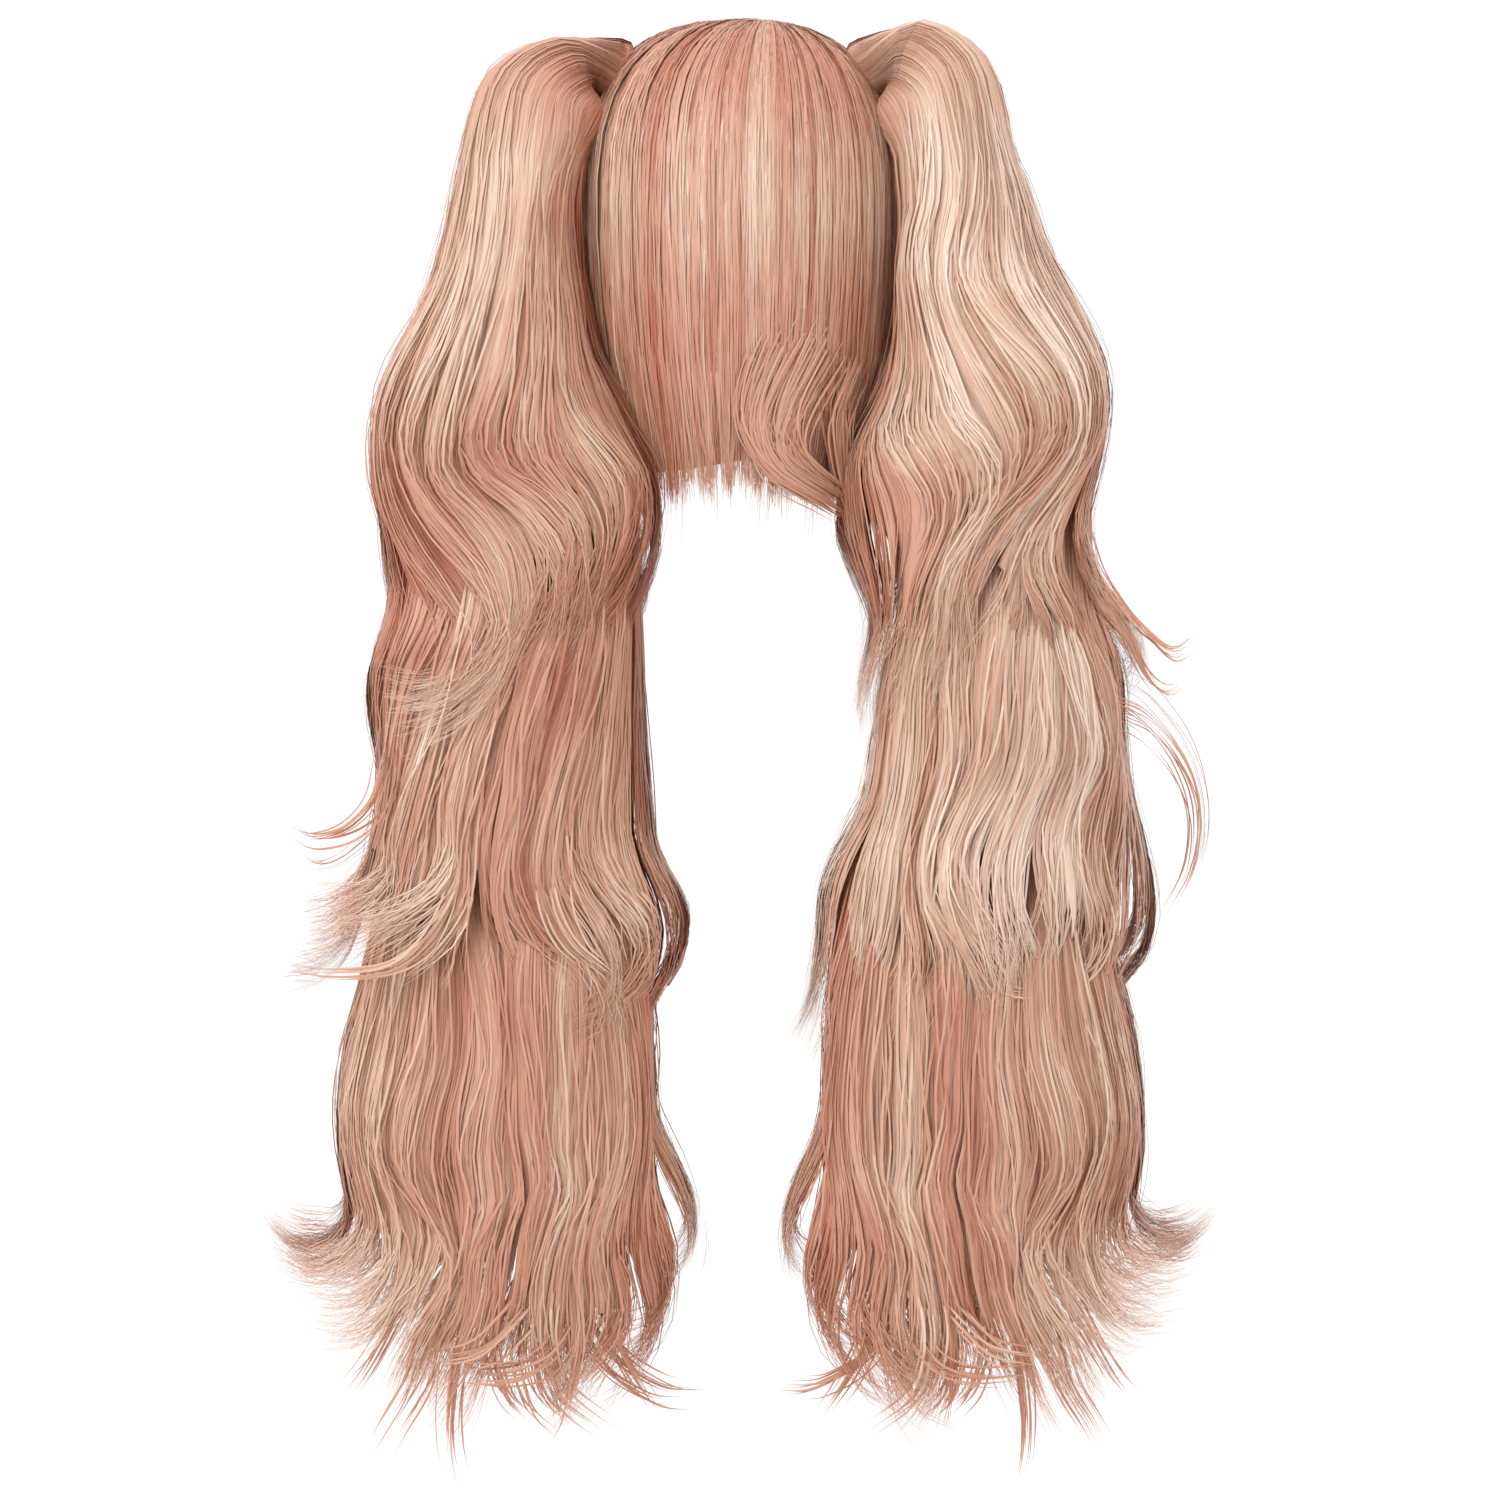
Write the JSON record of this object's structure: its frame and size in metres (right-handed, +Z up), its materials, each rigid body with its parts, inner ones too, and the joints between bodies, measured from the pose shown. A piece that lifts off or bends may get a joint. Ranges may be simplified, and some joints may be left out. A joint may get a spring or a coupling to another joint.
{
  "type": "ponytail wig",
  "caption": "Long wavy wig: a fitted cap under short straight hair with a fringe, and two high layered ponytails with curled ends.",
  "frame": {"origin": "the middle of the inside of the cap's crown, where it sits on the top of the head", "axes": "+Z up; +Y the way the wearer faces; +X the wearer's right"},
  "size_m": [0.5174, 0.2264, 0.8041],
  "materials": {
    "cap": "fine stretch net",
    "short_hair": "rose-blond synthetic hair, satin",
    "long_hair": "pale rose-blond synthetic hair, satin",
    "tie": "ribbed elastic cord"
  },
  "bodies": {
    "root": {"wig_cap": "cap", "crown_hair": "short_hair", "fringe": "short_hair", "hair_tie_left": "tie", "hair_tie_right": "tie", "ponytail_left": "long_hair", "ponytail_right": "long_hair"}
  },
  "joints": []
}
